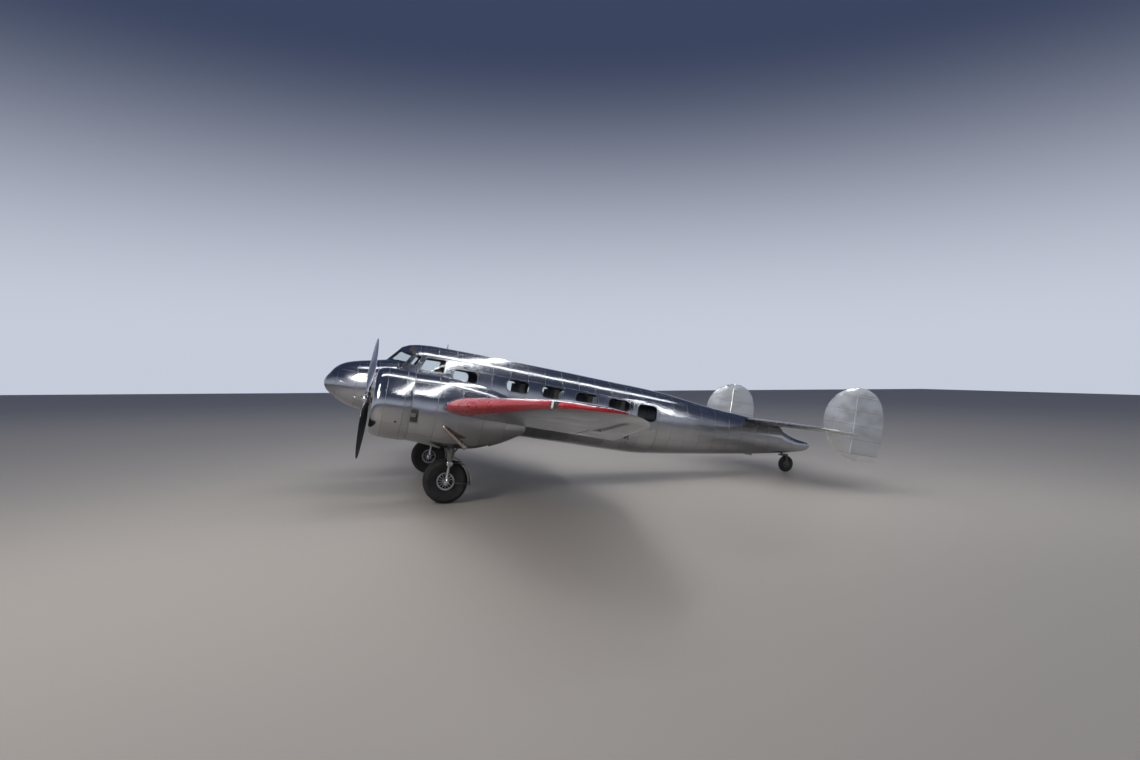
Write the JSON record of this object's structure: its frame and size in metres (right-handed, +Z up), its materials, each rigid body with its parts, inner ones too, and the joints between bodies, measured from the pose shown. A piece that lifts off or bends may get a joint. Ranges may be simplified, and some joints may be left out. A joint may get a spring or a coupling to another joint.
{
  "type": "twin-engine propeller airliner",
  "caption": "Low-wing all-metal propeller airliner with radial engines, oval twin fins, fixed-down main wheels and a swivelling tail wheel.",
  "frame": {"origin": "on the ground under the middle of the aircraft, with the main wheels and the tail wheel standing on z = 0", "axes": "+X to port (the left wing), -Y forward along the ground, +Z up"},
  "size_m": [16.752, 11.5684, 3.1172],
  "materials": {
    "polished_skin": "polished aluminium sheet",
    "grey_dope": "satin aluminium dope",
    "dark_steel": "dark painted steel",
    "engine_grey": "engine castings",
    "exhaust": "heat-stained steel",
    "tyre": "black rubber",
    "glazing": "clear",
    "cabin_trim": "painted panels",
    "seat_cloth": "woven cloth"
  },
  "bodies": {
    "airframe": {"fuselage_nose": "polished_skin", "cockpit_shell": "polished_skin", "windscreen_left": "glazing", "windscreen_right": "glazing", "cabin_shell": "polished_skin", "cabin_floor": "cabin_trim", "main_spar": "polished_skin", "cockpit_bulkhead": "cabin_trim", "instrument_panel": "dark_steel", "cabin_seats_left": "seat_cloth", "cabin_seats_right": "seat_cloth", "crew_seat_left": "seat_cloth", "crew_seat_right": "seat_cloth", "landing_light_left": "glazing", "landing_light_right": "glazing", "wing_centre_left": "polished_skin", "wing_centre_right": "polished_skin", "wing_outer_left": "polished_skin", "wing_outer_right": "polished_skin", "nacelle_left": "polished_skin", "nacelle_right": "polished_skin", "engine_left": "engine_grey", "cowl_left": "polished_skin", "engine_right": "engine_grey", "cowl_right": "polished_skin", "exhaust_left": "exhaust", "exhaust_right": "exhaust", "fin_left": "polished_skin", "fin_right": "polished_skin", "tailplane": "polished_skin", "tail_cone": "polished_skin", "gear_leg_left": "dark_steel", "gear_leg_right": "dark_steel", "mudguard_left": "polished_skin", "mudguard_right": "polished_skin"},
    "propeller_left": {"propeller_left": "polished_skin"},
    "propeller_right": {"propeller_right": "polished_skin"},
    "wheel_left": {"tyre_left": "tyre", "wheel_rim_left": "polished_skin"},
    "wheel_right": {"tyre_right": "tyre", "wheel_rim_right": "polished_skin"},
    "tail_fork": {"tail_wheel_fork": "dark_steel"},
    "tail_wheel": {"tail_tyre": "tyre", "tail_wheel_rim": "polished_skin"},
    "aileron_left": {"aileron_left": "polished_skin"},
    "aileron_right": {"aileron_right": "polished_skin"},
    "flap_inner_left": {"flap_inner_left": "polished_skin"},
    "flap_inner_right": {"flap_inner_right": "polished_skin"},
    "flap_outer_left": {"flap_outer_left": "polished_skin"},
    "flap_outer_right": {"flap_outer_right": "polished_skin"},
    "elevator": {"elevator": "polished_skin"},
    "rudder_left": {"rudder_left": "grey_dope"},
    "rudder_right": {"rudder_right": "grey_dope"},
    "cabin_door": {"cabin_door": "polished_skin"}
  },
  "joints": [
    {"name": "propeller_left_spin", "type": "hinge", "parent": "airframe", "child": "propeller_left", "pos_m": [2.11, -4.90051, 1.97547], "axis": [0, -0.9848, 0.1736], "continuous": true},
    {"name": "propeller_right_spin", "type": "hinge", "parent": "airframe", "child": "propeller_right", "pos_m": [-2.11, -4.90051, 1.97547], "axis": [0, -0.9848, 0.1736], "continuous": true},
    {"name": "wheel_left_spin", "type": "hinge", "parent": "airframe", "child": "wheel_left", "pos_m": [2.11, -3.47902, 0.42], "axis": [1, 0, 0], "continuous": true},
    {"name": "wheel_right_spin", "type": "hinge", "parent": "airframe", "child": "wheel_right", "pos_m": [-2.11, -3.47902, 0.42], "axis": [1, 0, 0], "continuous": true},
    {"name": "tail_wheel_swivel", "type": "hinge", "parent": "airframe", "child": "tail_fork", "pos_m": [0, 5.01098, 0], "axis": [0, 0, 1], "range_deg": [-180, 180]},
    {"name": "tail_wheel_spin", "type": "hinge", "parent": "tail_fork", "child": "tail_wheel", "pos_m": [0, 5.12098, 0.2], "axis": [1, 0, 0], "continuous": true},
    {"name": "aileron_left_hinge", "type": "hinge", "parent": "airframe", "child": "aileron_left", "pos_m": [4.95, -1.41613, 1.66972], "axis": [0.9838, -0.1537, 0.0925], "range_deg": [-20, 20]},
    {"name": "aileron_right_hinge", "type": "hinge", "parent": "airframe", "child": "aileron_right", "pos_m": [-4.95, -1.41613, 1.66972], "axis": [0.9838, 0.1537, -0.0925], "range_deg": [-20, 20]},
    {"name": "flap_inner_left_hinge", "type": "hinge", "parent": "airframe", "child": "flap_inner_left", "pos_m": [0.85, -1.20604, 1.33251], "axis": [-1, 0, 0], "range_deg": [0, 60]},
    {"name": "flap_inner_right_hinge", "type": "hinge", "parent": "airframe", "child": "flap_inner_right", "pos_m": [-0.85, -1.20604, 1.33251], "axis": [-1, 0, 0], "range_deg": [0, 60]},
    {"name": "flap_outer_left_hinge", "type": "hinge", "parent": "airframe", "child": "flap_outer_left", "pos_m": [3.04, -1.21176, 1.33721], "axis": [-0.9833, 0.1407, -0.115], "range_deg": [0, 60]},
    {"name": "flap_outer_right_hinge", "type": "hinge", "parent": "airframe", "child": "flap_outer_right", "pos_m": [-3.04, -1.21176, 1.33721], "axis": [-0.9833, -0.1407, 0.115], "range_deg": [0, 60]},
    {"name": "elevator_hinge", "type": "hinge", "parent": "airframe", "child": "elevator", "pos_m": [2.59, 4.98729, 1.1611], "axis": [1, 0, 0], "range_deg": [-20, 28]},
    {"name": "rudder_left_hinge", "type": "hinge", "parent": "airframe", "child": "rudder_left", "pos_m": [2.72, 4.91436, 0.74748], "axis": [0, 0.1736, 0.9848], "range_deg": [-25, 25]},
    {"name": "rudder_right_hinge", "type": "hinge", "parent": "airframe", "child": "rudder_right", "pos_m": [-2.72, 4.91436, 0.74748], "axis": [0, 0.1736, 0.9848], "range_deg": [-25, 25]},
    {"name": "cabin_door_hinge", "type": "hinge", "parent": "airframe", "child": "cabin_door", "pos_m": [0.773, 0.64682, 0.82978], "axis": [0, -0.1736, -0.9848], "range_deg": [0, 105]}
  ],
  "couplings": [
    {"joint": "aileron_right_hinge", "follows": "aileron_left_hinge", "ratio": -1},
    {"joint": "flap_inner_right_hinge", "follows": "flap_inner_left_hinge", "ratio": 1},
    {"joint": "flap_outer_left_hinge", "follows": "flap_inner_left_hinge", "ratio": 1},
    {"joint": "flap_outer_right_hinge", "follows": "flap_inner_left_hinge", "ratio": 1},
    {"joint": "rudder_right_hinge", "follows": "rudder_left_hinge", "ratio": 1}
  ]
}
